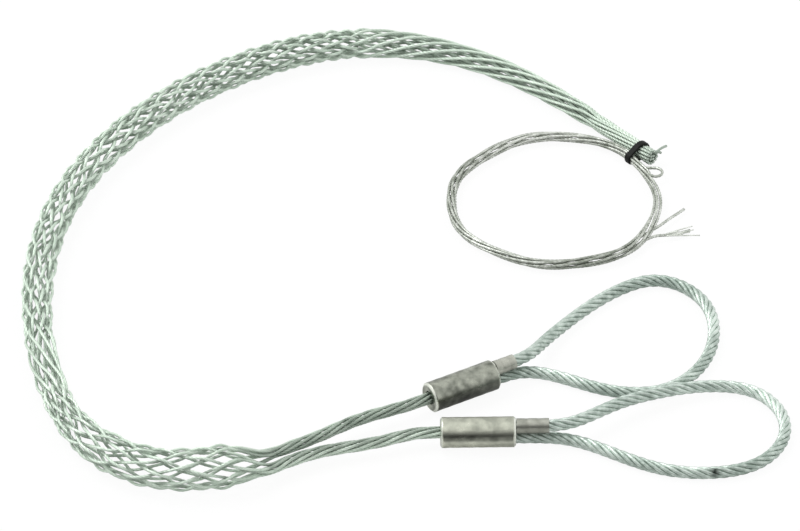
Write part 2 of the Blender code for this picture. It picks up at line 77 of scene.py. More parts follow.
def node_points(name: str) -> tuple[Array, Array]:
    """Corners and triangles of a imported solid, with corners at the same place made one.

    Args:
        name: The solid's node.

    Returns:
        Places of the corners, and for each triangle the numbers of its three corners.
    """
    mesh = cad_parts[name].data
    mesh.calc_loop_triangles()
    places = np.empty(3 * len(mesh.vertices), dtype=np.float32)
    mesh.vertices.foreach_get("co", places)
    corners = np.empty(3 * len(mesh.loop_triangles), dtype=np.int32)
    mesh.loop_triangles.foreach_get("vertices", corners)
    places = places.reshape(-1, 3).astype(float)
    _, first, same = np.unique(np.round(places, 6), axis=0, return_index=True, return_inverse=True)
    return places[first], same.reshape(-1)[corners].reshape(-1, 3)


def ring_levels(links: Array, start: Array) -> list[Array]:
    """Corners of a network by their distance in links from the starting ones.

    Args:
        links: Square table, true where two corners share an edge.
        start: Numbers of the starting corners.

    Returns:
        Numbers of the corners at each distance.
    """
    reached = np.zeros(len(links), dtype=bool)
    reached[start] = True
    levels = [np.asarray(start)]
    while len(levels[-1]):
        ahead = links[levels[-1]].any(axis=0) & ~reached
        reached |= ahead
        levels.append(np.flatnonzero(ahead))
    return levels[:-1]


def middle_line(name: str, sides: int) -> Array:
    """Middle points of a packed wire, one for each of its rings of corners.

    A ring is all corners that are equally many edges away from the wire's end ring.

    Args:
        name: The wire's node.
        sides: Corners in one ring.

    Returns:
        The middle points, from one end of the wire to the other.
    """
    places, triangles = node_points(name)
    links = np.zeros((len(places), len(places)), dtype=bool)
    for a, b in ((0, 1), (1, 2), (2, 0)):
        links[triangles[:, a], triangles[:, b]] = True
        links[triangles[:, b], triangles[:, a]] = True
    last = ring_levels(links, np.array([0]))[-1][0]
    around = np.concatenate(ring_levels(links, np.array([last]))[: sides // 2 + 2])
    near = around[np.argsort(np.linalg.norm(places[around] - places[last], axis=1))[:sides]]
    return np.array([places[level].mean(axis=0) for level in ring_levels(links, near)])


def smooth_line(points: Array, step: float) -> Array:
    """Points at an even step on a cubic spline through the given points.

    The spline's slopes make its curvature run on from span to span, and its ends are free.

    Args:
        points: Points that the spline goes through.
        step: Distance between the points that come back.

    Returns:
        Points on the spline, its two ends among them.
    """
    spans = np.linalg.norm(np.diff(points, axis=0), axis=1)
    count = len(points)
    matrix = np.diag(np.concatenate([[2 / spans[0]], 2 / spans[:-1] + 2 / spans[1:], [2 / spans[-1]]]))
    matrix[np.arange(count - 1), np.arange(1, count)] = 1 / spans
    matrix[np.arange(1, count), np.arange(count - 1)] = 1 / spans
    pull = 3 * np.diff(points, axis=0) / spans[:, None] ** 2
    slopes = np.linalg.solve(matrix, np.vstack([pull[:1], pull[:-1] + pull[1:], pull[-1:]]))
    knots = np.concatenate([[0.0], np.cumsum(spans)])

    def at(knot: Array) -> Array:
        """Points of the spline at values of the chord length."""
        span = np.clip(np.searchsorted(knots, knot, side="right") - 1, 0, count - 2)
        width = spans[span][:, None]
        part = (knot - knots[span])[:, None] / width
        rest = 1 - part
        curve = points[span] * (1 + 2 * part) * rest**2 + points[span + 1] * (3 - 2 * part) * part**2
        return curve + slopes[span] * width * part * rest**2 - slopes[span + 1] * width * rest * part**2

    fine = np.linspace(0.0, knots[-1], 30 * count)
    steps = np.linalg.norm(np.diff(at(fine), axis=0), axis=1)
    lengths = np.concatenate([[0.0], np.cumsum(steps)])
    places = np.linspace(0.0, lengths[-1], max(2, round(lengths[-1] / step) + 1))
    return at(np.interp(places, lengths, fine))


def circle_angles(count: int) -> Array:
    """Evenly spread angles, once round."""
    return np.arange(count) * math.tau / count


def band_place() -> Array:
    """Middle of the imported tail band."""
    return np.array(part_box("tail_band")).mean(axis=0)


def line_lengths(line: Array) -> Array:
    """Distance of each point of a line from its start, along it."""
    return np.concatenate([[0.0], np.cumsum(np.linalg.norm(np.diff(line, axis=0), axis=1))])


def swept_grid(line: Array, angles: Array, radii: Array) -> Array:
    """Surface of two parameters round a line: middle + radius (cos angle left + sin angle up).

    Left is level and square to the line, and up is square to both.

    Args:
        line: Middle points, one for each row, of a line that is nowhere upright.
        angles: Angle of every point of the grid, in radians.
        radii: Radius of every point of the grid.

    Returns:
        Places, as an array of rows, columns and three coordinates.
    """
    ahead = np.gradient(line, axis=0)
    ahead /= np.linalg.norm(ahead, axis=1)[:, None]
    left = np.cross(UP, ahead)
    left /= np.linalg.norm(left, axis=1)[:, None]
    up = np.cross(ahead, left)
    across = np.cos(angles)[..., None] * left[:, None] + np.sin(angles)[..., None] * up[:, None]
    return line[:, None] + radii[..., None] * across


def crossing_shade_shares(lines: list[Array], reach: float, rise: float) -> list[Array]:
    """How far each point of some lines lies under another line of the same tube, as a share of painted
    shade.

    The tube's middle is the mean of the nearest points of all lines. A line at a distance d from
    the point, and farther out by r, hides it by exp(-(d / reach)^2), faded in from r 0 to the rise.

    Args:
        lines: The lines, as points at even steps.
        reach: Distance at which the effect has mostly gone.
        rise: Height of the upper line over the lower one at a full crossing.

    Returns:
        For each line, a number from 0 to 1 for every point.
    """
    shares = []
    for line in lines:
        nearest = []
        for other in lines:
            square = (line**2).sum(axis=1)[:, None] + (other**2).sum(axis=1) - 2 * line @ other.T
            nearest.append(other[square.argmin(axis=1)])
        places = np.stack(nearest)
        middle = places.mean(axis=0)
        out = np.linalg.norm(places - middle, axis=2) - np.linalg.norm(line - middle, axis=1)
        gap = np.linalg.norm(places - line, axis=2)
        shares.append((np.exp(-((gap / reach) ** 2)) * np.clip(out / rise, 0.0, 1.0)).max(axis=0))
    return shares


def new_object(name: str, data: bpy.types.ID) -> Object:
    """Object at the origin, in the scene."""
    thing = bpy.data.objects.new(name, data)
    bpy.context.scene.collection.objects.link(thing)
    return thing


@dataclass
class Surface:
    """A mesh in the making: grids of quads, fans at their ends, and a groove value per corner that sets
    painted shade and other darkening.
    """

    places: list[Array] = field(default_factory=list)
    grooves: list[Array] = field(default_factory=list)
    quads: list[Array] = field(default_factory=list)
    fans: list[Array] = field(default_factory=list)
    count: int = 0

    def add(self, grid: Array, groove: Array, ring: bool = False) -> None:
        """Add a grid that closes round its columns, and is either a ring or has a fan at each end.

        Its quads face outwards when its rows run ahead of its columns' turn.

        Args:
            grid: Places of the grid's corners.
            groove: From 0 on a crest to 1 in a groove, for painted shade and other darkening, and -1 on an
                edge that is worn bright.
            ring: Whether the last row joins the first one.
        """
        rows, columns = grid.shape[:2]
        self.places.append(grid.reshape(-1, 3))
        self.grooves.append(np.broadcast_to(groove, (rows, columns)).reshape(-1))
        first = self.count
        self.count += rows * columns
        row = np.arange(rows if ring else rows - 1)[:, None]
        ahead = (row + 1) % rows * columns
        row = row * columns
        column = np.arange(columns)
        beside = (column + 1) % columns
        quads = np.stack([row + column, row + beside, ahead + beside, ahead + column], axis=-1)
        self.quads.append(first + quads.reshape(-1, 4))
        if ring:
            return
        for row, flip in ((0, True), (rows - 1, False)):
            self.places.append(grid[row].mean(axis=0)[None])
            self.grooves.append(np.full(1, END_GROOVE))
            start = first + row * columns
            pair = (beside, column) if flip else (column, beside)
            tip = np.full(columns, self.count)
            self.fans.append(np.stack([pair[0] + start, pair[1] + start, tip], axis=-1))
            self.count += 1

    def piece(self, name: str) -> Object:
        """Make the object, shaded smooth, with its groove values as a point attribute.

        Args:
            name: The piece's name.

        Returns:
            The new object, at the origin.
        """
        mesh = bpy.data.meshes.new(name)
        quads = np.concatenate(self.quads)
        fans = np.concatenate(self.fans) if self.fans else np.empty((0, 3), dtype=int)
        mesh.vertices.add(self.count)
        mesh.vertices.foreach_set("co", np.concatenate(self.places).astype(np.float32).ravel())
        corners = np.concatenate([quads.ravel(), fans.ravel()])
        mesh.loops.add(len(corners))
        mesh.loops.foreach_set("vertex_index", corners.astype(np.int32))
        mesh.polygons.add(len(quads) + len(fans))
        starts = np.concatenate([4 * np.arange(len(quads)), quads.size + 3 * np.arange(len(fans))])
        mesh.polygons.foreach_set("loop_start", starts.astype(np.int32))
        mesh.polygons.foreach_set("use_smooth", np.ones(len(starts), dtype=bool))
        mesh.update(calc_edges=True)
        groove = mesh.attributes.new("groove", "FLOAT", "POINT")
        groove.data.foreach_set("value", np.concatenate(self.grooves).astype(np.float32))
        mesh.validate()
        return new_object(name, mesh)


@dataclass(frozen=True)
class LaidStrand:
    """A strand of round wires that are laid round a core."""

    diameter: float
    wires: int
    lay_length: float
    lay: Lay = Lay.RIGHT
    samples: int = 4
    lay_groove_shade: float = 0.42

    def section(self) -> tuple[Array, Array]:
        """Angles and radii of the strand's section.

        The wires' middles lie on a circle of radius c, where neighbours of radius w touch:
        w = c sin(half a wire's share), and c + w is the strand's radius. The outline at an
        angle f from a wire's middle is c cos f + root(w^2 - c^2 sin^2 f).

        Returns:
            Angles round the section, and the radius at each.
        """
        share = math.pi / self.wires
        ring = self.diameter / 2 / (1 + math.sin(share))
        wire = ring * math.sin(share)
        angles = np.arange(self.wires * self.samples) * 2 * share / self.samples
        off = (angles + share) % (2 * share) - share
        deep = np.sqrt(np.maximum(wire**2 - (ring * np.sin(off)) ** 2, 0.0))
        return angles, ring * np.cos(off) + deep

    def surface(self, onto: Surface, line: Array, turn: float = 0.0, hidden: Array | float = 0.0) -> None:
        """Add the strand along a line: its section turns once in every lay length.

        Args:
            onto: The mesh that takes it.
            line: The strand's middle line.
            turn: Angle of the first section.
            hidden: From 0 to 1, how dark to paint each point of the line: painted shade where it lies under
                another strand, or other darkening.
        """
        angles, radii = self.section()
        twist = turn + self.lay.value * math.tau * line_lengths(line) / self.lay_length
        everywhere = np.broadcast_to(radii, (len(line), len(radii)))
        grid = swept_grid(line, twist[:, None] + angles[None], everywhere)
        # Painted shade in the grooves between the wires, and where the strand lies under another.
        groove = self.lay_groove_shade * (radii.max() - radii) / (radii.max() - radii.min())
        under = np.broadcast_to(hidden, len(line))[:, None]
        onto.add(grid, 1 - (1 - groove[None]) * (1 - under))


# Finishes


NUMBER = "NodeSocketFloat"
COLOUR = "NodeSocketColor"
PLACE = "NodeSocketVector"


class Nodes:
    """Short way of placing and linking shader nodes in a tree."""

    def __init__(self, tree: bpy.types.NodeTree) -> None:
        """Keep the tree that the nodes go into."""
        self.tree = tree

    def put(self, node: Node, key: str | int, value: object) -> None:
        """Link a socket to a node's input, or set the input's value."""
        if isinstance(value, Socket):
            self.tree.links.new(value, node.inputs[key])
        else:
            node.inputs[key].default_value = value

    def add(self, kind: str, values: dict | None = None, **settings: object) -> Node:
        """Place a node, with its settings and the values or links of its inputs.

        Args:
            kind: The node's type, without its ShaderNode prefix.
            values: Value, or socket to link, for inputs by name or number.
            settings: Attributes of the node itself.

        Returns:
            The new node.
        """
        node = self.tree.nodes.new("ShaderNode" + kind)
        for key, value in settings.items():
            setattr(node, key, value)
        for key, value in (values or {}).items():
            self.put(node, key, value)
        return node

    def noise(self, where: Socket, scale: float | Socket, detail: float) -> Socket:
        """Factor of a noise texture, from 0 to 1."""
        return self.add("TexNoise", {"Vector": where, "Scale": scale, "Detail": detail}).outputs["Fac"]

    def math(self, operation: str, first: float | Socket, second: float | Socket) -> Socket:
        """Result of a math node."""
        return self.add("Math", {0: first, 1: second}, operation=operation).outputs[0]

    def spread(
        self, value: Socket, low: float, high: float, to_low: float | Socket = 0.0,
        to_high: float | Socket = 1.0, curve: str = "LINEAR",
    ) -> Socket:
        """Value taken from one range to another, and kept within it."""
        return self.add("MapRange", {
            "Value": value, "From Min": low, "From Max": high, "To Min": to_low, "To Max": to_high,
        }, interpolation_type=curve).outputs[0]

    def mix(self, factor: Socket, first: Socket | tuple, second: Socket | tuple) -> Socket:
        """Colour between two colours."""
        node = self.add("Mix", {"Factor": factor}, data_type="RGBA")
        self.put(node, 6, first)
        self.put(node, 7, second)
        return node.outputs[2]

    def bump(self, height: Socket, strength: float, distance: float) -> Socket:
        """Normal of a surface that is raised by a height."""
        values = {"Height": height, "Strength": strength, "Distance": distance}
        return self.add("Bump", values).outputs["Normal"]

    def scratches(self, where: Socket, scale: float) -> Socket:
        """Height of the handling scratches."""
        group = handling_scratches()
        return self.add("Group", {"Place": where, "Scale": scale}, node_tree=group).outputs["Height"]


def new_group(
    name: str, inputs: dict[str, str], outputs: dict[str, str],
) -> tuple[Nodes, bpy.types.NodeOutputs, Node]:
    """Start a shader node group with named sockets.

    Args:
        name: The group's name.
        inputs: Socket type of each input.
        outputs: Socket type of each output.

    Returns:
        The group's nodes, the sockets that give its inputs, and its output node.
    """
    tree = bpy.data.node_groups.new(name, "ShaderNodeTree")
    for side, sockets in (("INPUT", inputs), ("OUTPUT", outputs)):
        for label, kind in sockets.items():
            tree.interface.new_socket(name=label, in_out=side, socket_type=kind)
    return Nodes(tree), tree.nodes.new("NodeGroupInput").outputs, tree.nodes.new("NodeGroupOutput")


def rgba(colour: Triple) -> tuple[float, float, float, float]:
    """Colour with full cover."""
    return (*colour, 1.0)


@cache
def zinc_bloom() -> bpy.types.NodeTree:
    """Zinc bloom: patches that are duller and rougher than the bright metal.

    Returns:
        Group from a place, two colours and two roughnesses to a colour and a roughness.
    """
    nodes, given, result = new_group("zinc_bloom", {
        "Place": PLACE, "Bright": COLOUR, "Dull": COLOUR, "Smooth": NUMBER, "Rough": NUMBER,
        "Scale": NUMBER, "Broad": NUMBER,
    }, {"Color": COLOUR, "Roughness": NUMBER})
    fine = nodes.noise(given["Place"], given["Scale"], 3.0)
    broad = nodes.noise(given["Place"], given["Broad"], 2.0)
    both = nodes.math("MULTIPLY", nodes.math("ADD", fine, broad), 0.5)
    patch = nodes.spread(both, 0.38, 0.62)
    nodes.put(result, "Color", nodes.mix(patch, given["Bright"], given["Dull"]))
    rough = nodes.spread(patch, 0.0, 1.0, given["Smooth"], given["Rough"])
    nodes.put(result, "Roughness", rough)
    return nodes.tree


@cache
def groove_shade_grime() -> bpy.types.NodeTree:
    """Painted shade, deepest in grooves and gone on crests, with the other darkening that the groove value
    carries.

    Returns:
        Group from a place, two colours, a groove value and an amount to a darkened colour.
    """
    nodes, given, result = new_group("groove_shade_grime", {
        "Place": PLACE, "Color": COLOUR, "ShadeGrime": COLOUR, "Groove": NUMBER, "Amount": NUMBER,
    }, {"Color": COLOUR})
    uneven = nodes.spread(nodes.noise(given["Place"], 120.0, 2.0), 0.3, 0.7, 0.6, 1.0)
    deep = nodes.math("POWER", nodes.math("MAXIMUM", given["Groove"], 0.0), 1.6)
    mask = nodes.math("MULTIPLY", nodes.math("MULTIPLY", deep, uneven), given["Amount"])
    nodes.put(result, "Color", nodes.mix(mask, given["Color"], given["ShadeGrime"]))
    return nodes.tree


@cache
def handling_scratches() -> bpy.types.NodeTree:
    """Fine handling scratches, as a height between 0 and 1.

    Returns:
        Group from a stretched place to a height.
    """
    nodes, given, result = new_group(
        "handling_scratches", {"Place": PLACE, "Scale": NUMBER}, {"Height": NUMBER},
    )
    fine = nodes.noise(given["Place"], given["Scale"], 4.0)
    nodes.put(result, "Height", nodes.spread(fine, 0.45, 0.55))
    return nodes.tree


@dataclass(frozen=True)
class Finish:
    """A material by name, made once, for the pieces of one slot."""

    name: str
    slot: str

    @cache
    def material(self) -> bpy.types.Material:
        """Build the material the first time that it is asked for."""
        material = bpy.data.materials.new(self.name)
        material.use_nodes = True
        nodes = Nodes(material.node_tree)
        place = nodes.add("TexCoord").outputs["Object"]
        for key, value in self.inputs(nodes, place).items():
            nodes.put(nodes.tree.nodes["Principled BSDF"], key, value)
        return material

    def inputs(self, nodes: Nodes, place: Socket) -> dict[str, object]:
        """Place the finish's own nodes.

        Args:
            nodes: The material's nodes.
            place: Socket of the place on the object.

        Returns:
            Value, or socket to link, for inputs of the Principled shader by name.
        """
        raise NotImplementedError


@dataclass(frozen=True)
class MetalFinish(Finish):
    """Metal in patches, with painted shade and other darkening where the groove value is high, and worn
    where it is below 0.

    Drawn wire has a fine grain; a pressed or rolled piece has scratches along X. The relief is
    the strength and the height of either.
    """

    bright: Triple
    dull: Triple
    grime: Triple
    smooth: float = 0.24
    rough: float = 0.42
    grime_amount: float = 0.95
    fine: float = 220.0
    broad: float = 45.0
    metallic: float = 1.0
    drawn: bool = False
    relief: tuple[float, float] = (0.25, 0.00005)
    worn: Triple = (0.84, 0.86, 0.78)
    grain: float = 2600.0
    scratch_scale: float = 700.0
    scratch_stretch: Triple = (0.25, 1.0, 1.0)

    def inputs(self, nodes: Nodes, place: Socket) -> dict[str, object]:
        """Patches of metal under painted shade and other darkening, worn edges, and a grain or scratches.
        """
        groove = nodes.add("Attribute", attribute_name="groove").outputs["Fac"]
        zinc = nodes.add("Group", {
            "Place": place, "Bright": rgba(self.bright), "Dull": rgba(self.dull), "Smooth": self.smooth,
            "Rough": self.rough, "Scale": self.fine, "Broad": self.broad,
        }, node_tree=zinc_bloom())
        soiled = nodes.add("Group", {
            "Place": place, "Color": zinc.outputs["Color"], "ShadeGrime": rgba(self.grime), "Groove": groove,
            "Amount": self.grime_amount,
        }, node_tree=groove_shade_grime())
        colour = soiled.outputs["Color"]
        if self.drawn:
            height = nodes.noise(place, self.grain, 2.0)
        else:
            colour = nodes.mix(nodes.spread(groove, -0.1, -1.0), colour, rgba(self.worn))
            stretched = nodes.add("Mapping", {"Vector": place, "Scale": self.scratch_stretch}).outputs[0]
            height = nodes.scratches(stretched, self.scratch_scale)
        return {
            "Base Color": colour, "Roughness": zinc.outputs["Roughness"], "Metallic": self.metallic,
            "Normal": nodes.bump(height, *self.relief),
        }


def wire_finish(
    name: str, slot: str, bright: Triple, dull: Triple, grime: Triple, **looks: float,
) -> MetalFinish:
    """Finish of galvanised wire: zinc bloom on the crests and painted shade in the grooves."""
    wire = {"fine": 300.0, "metallic": 0.85, "drawn": True, "relief": (0.15, 0.00006)}
    return MetalFinish(name, slot, bright, dull, grime, **wire, **looks)


@dataclass(frozen=True)
class TapeFinish(Finish):
    """Black plastic tape with a faint sheen and a thin, patchy dust."""

    colour: Triple
    dust: Triple
    roughness: float = 0.5
    specular: float = 0.2
    dust_scale: float = 900.0
    scratch_scale: float = 500.0
    relief: tuple[float, float] = (0.3, 0.0001)

    def inputs(self, nodes: Nodes, place: Socket) -> dict[str, object]:
        """Tape colour under dust, with scratches."""
        dust = nodes.spread(nodes.noise(place, self.dust_scale, 3.0), 0.55, 0.8, 0.0, 0.35)
        return {
            "Base Color": nodes.mix(dust, rgba(self.colour), rgba(self.dust)), "Roughness": self.roughness,
            "Specular IOR Level": self.specular,
            "Normal": nodes.bump(nodes.scratches(place, self.scratch_scale), *self.relief),
        }


# Each metal finish's third colour is painted shade, which also serves for the other darkening that the
# groove value carries.
STRAND_FINISH = wire_finish(
    "laid_zinc_strand", "galvanised_strand", (0.83, 0.94, 0.83), (0.69, 0.80, 0.695), (0.09, 0.125, 0.095),
    smooth=0.42, rough=0.62, grime_amount=0.92,
)
ROPE_FINISH = wire_finish(
    "laid_zinc_rope", "galvanised_rope", (0.85, 0.95, 0.88), (0.40, 0.485, 0.43), (0.03, 0.045, 0.035),
    smooth=0.30, rough=0.55, grime_amount=0.78, broad=24.0,
)
LACING_FINISH = wire_finish(
    "laid_zinc_lacing", "lacing_strand", (0.93, 0.96, 0.90), (0.40, 0.435, 0.375), (0.20, 0.22, 0.185),
    smooth=0.38, rough=0.60, grime_amount=0.75, broad=17.0,
)
FERRULE_FINISH = MetalFinish(
    "pressed_steel", "ferrule_steel", (0.66, 0.68, 0.57), (0.36, 0.375, 0.315), (0.05, 0.053, 0.045),
)
# The upper ferrule's steel: the same steel painted darker, as painted shade.
SHADED_FERRULE_FINISH = MetalFinish(
    "pressed_steel_painted_shade", "ferrule_steel", (0.46, 0.48, 0.41), (0.10, 0.108, 0.09), (0.04, 0.043, 0.037),
)
SLEEVE_FINISH = MetalFinish(
    "rolled_metal", "sleeve_metal", (0.54, 0.55, 0.485), (0.31, 0.32, 0.275), (0.05, 0.052, 0.042),
    smooth=0.22, grime_amount=0.6,
)
BAND_FINISH = TapeFinish("black_tape", "black_band", (0.004, 0.005, 0.004), (0.05, 0.05, 0.05))


def dress(piece: Object, finish: Finish, *nodes: str) -> Object:
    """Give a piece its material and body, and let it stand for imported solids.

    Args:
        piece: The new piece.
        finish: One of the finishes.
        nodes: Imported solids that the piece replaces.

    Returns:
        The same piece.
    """
    piece.data.materials.append(finish.material())
    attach(piece, BODY)
    if nodes:
        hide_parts(*nodes)
    log.info("%s: %d faces, for %s", piece.name, len(piece.data.polygons), ", ".join(nodes) or "no solid")
    return piece


# The grip's pieces


class Piece(ABC):
    """A visible piece, or one of a few that are alike."""

    @abstractmethod
    def build(self) -> Object:
        """Make and dress the piece.

        Returns:
            The new object, with its material and body.
        """


@dataclass
class MeshTube:
    """The woven mesh: one laid strand along the middle line of each packed wire.

    The strands are darker towards the tail's cut end: each darkening has its share there, and
    fades as exp(-(length / reach)^2). Where a strand lies under another one, it takes painted shade.
    """

    strands: int = 16
    sides: int = 4
    strand: LaidStrand = LaidStrand(diameter=0.0015, wires=6, lay_length=0.0130)
    step: float = 0.0011
    turn: float = 0.7
    hide_reach: float = 0.0031
    hide_rise: float = 0.0008
    tail_darkening: tuple[tuple[float, float], ...] = ((0.7, 0.015), (0.28, 0.090))

    def lines(self) -> dict[str, Array]:
        """Middle lines of the strands, from the tail's cut end to the ferrules, by node."""
        tail = band_place()
        found = {}
        for number in range(1, self.strands + 1):
            name = f"mesh_strand_{number:02d}"
            points = middle_line(name, self.sides)
            if np.linalg.norm(points[-1] - tail) < np.linalg.norm(points[0] - tail):
                points = points[::-1]
            found[name] = smooth_line(points, self.step)
        return found

    def build(self, lines: dict[str, Array]) -> None:
        """Make and dress the strands.

        Args:
            lines: The strands' middle lines, by node.
        """
        # Painted shade where one strand runs under another.
        hidden = crossing_shade_shares(list(lines.values()), self.hide_reach, self.hide_rise)
        for number, (name, line) in enumerate(lines.items()):
            tail_darkening = [darkening * np.exp(-((line_lengths(line) / reach) ** 2)) for darkening, reach in self.tail_darkening]
            surface = Surface()
            dark = np.maximum.reduce([hidden[number], *tail_darkening])
            self.strand.surface(surface, line, self.turn * number, dark)
            dress(surface.piece(f"laid_{name}"), STRAND_FINISH, name)


@dataclass
class EyeRope(Piece):
    """Wire rope of an eye: strands laid round a core.

    It is darker towards its ferrule, and has at most one dark nick, on the side that faces
    nick_side from the point of its middle line nearest to the given place.
    """

    node: str
    nick: tuple[float, float] | None = None
    nick_side: Triple = (0.0, -0.79, 0.62)
    nick_reach: float = 0.0019
    nick_film: float = 1.7
    end_dark_reach: float = 0.030
    end_darkening: float = 0.62
    sides: int = 8
    strands: int = 6
    wires: int = 9
    diameter: float = 0.0060
    lay_length: float = 0.0300
    strand_lay_length: float = 0.019
    lay: Lay = Lay.RIGHT
    step: float = 0.0011
    core_sink: float = 0.25

    def build(self) -> Object:
        """Make and dress the rope.

        The strands' middles run on helices of radius c about the rope's middle line, where
        neighbours touch: c sin(half a strand's share) is the strand's radius.
        """
        line = smooth_line(middle_line(self.node, self.sides), self.step)
        share = math.pi / self.strands
        ring = self.diameter / 2 / (1 + math.sin(share))
        thickness = 2 * ring * math.sin(share)
        strand = LaidStrand(thickness, self.wires, self.strand_lay_length, Lay.LEFT, samples=3)
        lengths = line_lengths(line)
        ends = np.minimum(lengths, lengths[-1] - lengths)
        turns = self.lay.value * math.tau * lengths / self.lay_length
        surface = Surface()
        for number in range(self.strands):
            angle = turns + number * 2 * share
            helix = swept_grid(line, angle[:, None], np.full((len(line), 1), ring))[:, 0]
            dark = self.end_darkening * np.exp(-((ends / self.end_dark_reach) ** 2))
            if self.nick:
                nearest = line[np.linalg.norm(line[:, :2] - self.nick, axis=1).argmin()]
                off = np.linalg.norm(helix - nearest - ring * np.array(self.nick_side), axis=1)
                dark = np.maximum(dark, self.nick_film * np.exp(-((off / self.nick_reach) ** 2)))
            strand.surface(surface, helix, turn=number, hidden=dark)
        # The core, seen between the strands, is painted in full shade.
        core = circle_angles(self.sides)
        radii = np.full((len(line), self.sides), ring - self.core_sink * thickness)
        surface.add(swept_grid(line, np.broadcast_to(core, radii.shape), radii), np.ones((1, 1)))
        return dress(surface.piece(f"laid_{self.node}"), ROPE_FINISH, self.node)


def node_axis(name: str) -> tuple[Array, Array, float]:
    """Axis of a round, level solid.

    Args:
        name: The solid's node.

    Returns:
        Middle of its end on the mesh's side, unit vector towards the eye, and its length.
    """
    places, _ = node_points(name)
    middle = (places.min(axis=0) + places.max(axis=0)) / 2
    axis = np.linalg.svd(places - places.mean(axis=0), full_matrices=False)[2][0]
    axis *= np.sign(axis[0])
    along = (places - middle) @ axis
    start = middle + axis * along.min()
    return start, axis, float(along.max() - along.min())


def round_grid(start: Array, axis: Array, along: Array, radii: Array, angles: Array) -> Array:
    """Surface round a level axis: start + along axis + radius (cos angle left + sin angle up).

    Args:
        start: Place on the axis.
        axis: Unit vector along it.
        along: Distance of each row from the start.
        radii: Radius of every point of the grid.
        angles: Angle of each column.

    Returns:
        Places, as an array of rows, columns and three coordinates.
    """
    across = np.cos(angles)[:, None] * np.cross(UP, axis) + np.sin(angles)[:, None] * UP
    return start + along[:, None, None] * axis + radii[..., None] * across


@dataclass
class Ferrule(Piece):
    """Pressed steel ferrule, as one surface over its outside, its ends and its two bores.

    A dark band is painted along both flanks as a painted reflection of the dark room in front and the
    shaded floor: it fades as the fourth power of the angle from its middle, over its half width.
    """

    node: str
    dents: tuple[tuple[float, float, float, float], ...] = ()
    darkening: tuple[float, float] = (0.28, 0.30)
    finish: Finish = FERRULE_FINISH
    diameter: float = 0.0148
    chamfer: float = 0.0009
    soft: float = 0.0003
    strand_bore: float = 0.00329
    strand_depth: float = 0.0140
    rope_half_width: float = 0.0033
    rope_half_gap: float = 0.003475
    rope_depth: float = 0.0160
    bore_floor: float = 0.05
    slot_wall: float = 0.00012
    slot_step: float = 0.00001
    die_depth: float = 0.00007
    die_fade: float = 0.004
    ripple_depth: float = 0.00003
    ripple_pitch: float = 0.0061
    body_rows: int = 60
    columns: int = 96

    def slot_radius(self, angles: Array) -> Array:
        """Radius of the ropes' upright slot with round ends, at angles from its side.

        On its straight sides it is half width / |cos|; round its ends it reaches from the slot's
        middle to a circle of radius half width whose middle is half gap up or down.

        Args:
            angles: Angles from the level.

        Returns:
            The radius at each angle.
        """
        width, gap = self.rope_half_width, self.rope_half_gap
        cosine, sine = np.abs(np.cos(angles)), np.abs(np.sin(angles))
        side = width / np.maximum(cosine, 1e-9)
        end = gap * sine + np.sqrt(np.maximum(width**2 - (gap * cosine) ** 2, 0.0))
        return np.where(side * sine <= gap, side, end)

    def outside(self, along: float, angles: Array, length: float) -> Array:
        """Outer radius: a cylinder pressed by two dies, with dents.

        The die marks are shallow flats, cos(2 angle) deep, that fade out towards both ends;
        a dent is a bell about its own place, width and depth.

        Args:
            along: Distance from the mesh-side end.
            angles: Angles round the axis.
            length: The ferrule's length.

        Returns:
            The radius at each angle.
        """
        fade = min(along / self.die_fade, (length - along) / self.die_fade, 1.0)
        ripple = np.sin(along * math.tau / self.ripple_pitch + 0.6 * np.sin(3 * angles))
        radius = self.diameter / 2 + self.die_depth * (np.cos(2 * angles) - 1) * fade
        radius = radius + self.ripple_depth * ripple * fade
        for place, turn, width, depth in self.dents:
            swing = (angles - turn + math.pi) % math.tau - math.pi
            arc = swing * self.diameter / 2
            radius = radius - depth * np.exp(-((along - place) ** 2 + arc**2) / width**2)
        return radius

    def build(self) -> Object:
        """Make and dress the ferrule: rows of distance, radius and groove value, from bore to bore."""
        start, axis, length = node_axis(self.node)
        angles = circle_angles(self.columns)
        radius, bore, soft = self.diameter / 2, self.strand_bore, self.soft
        rim = radius - self.chamfer
        slot = self.slot_radius(angles)
        slot_rim = np.maximum(slot + self.slot_wall, rim)
        body = np.linspace(self.chamfer, length - self.chamfer, self.body_rows)
        wear = np.clip(1.4 - np.minimum(body, length - body) / self.chamfer, 0.0, 0.5)
        # Painted shade in the bores, and the painted dark reflection band along the flanks of the body.
        middle, half = self.darkening
        flank_reflection = np.exp(-(((np.arcsin(np.sin(angles)) - middle) / half) ** 4))
        rows = [
            (self.strand_depth, bore * self.bore_floor, 1.0), (self.strand_depth, bore, 1.0),
            (soft, bore, 0.8), (0.0, bore + soft, 0.4), (0.0, rim - soft, -0.3),
            (soft / 2, rim + soft / 4, -1.0), (self.chamfer - soft / 2, radius - soft / 2, -1.0),
        ]
        for along, worn in zip(body, wear):
            rows.append((along, self.outside(along, angles, length), -worn if worn > 0 else flank_reflection))
        rows += [
            (length - self.chamfer + soft / 2, radius - soft / 2, -1.0),
            (length - soft / 2, np.maximum(slot_rim, rim + soft / 4), -1.0),
            (length, slot_rim - self.slot_step, -0.3), (length, slot + self.slot_wall / 2, 0.5),
            (length - soft, slot, 0.8), (length - self.rope_depth, slot, 1.0),
            (length - self.rope_depth, slot * self.bore_floor, 1.0),
        ]
        alongs = np.array([row[0] for row in rows])
        radii, grooves = (np.stack([np.broadcast_to(row[k], self.columns) for row in rows]) for k in (1, 2))
        surface = Surface()
        surface.add(round_grid(start, axis, alongs, radii, angles), grooves)
        piece = surface.piece(f"pressed_{self.node}")
        piece.data.set_sharp_from_angle(angle=SHARP_ANGLE)
        return dress(piece, self.finish, self.node)


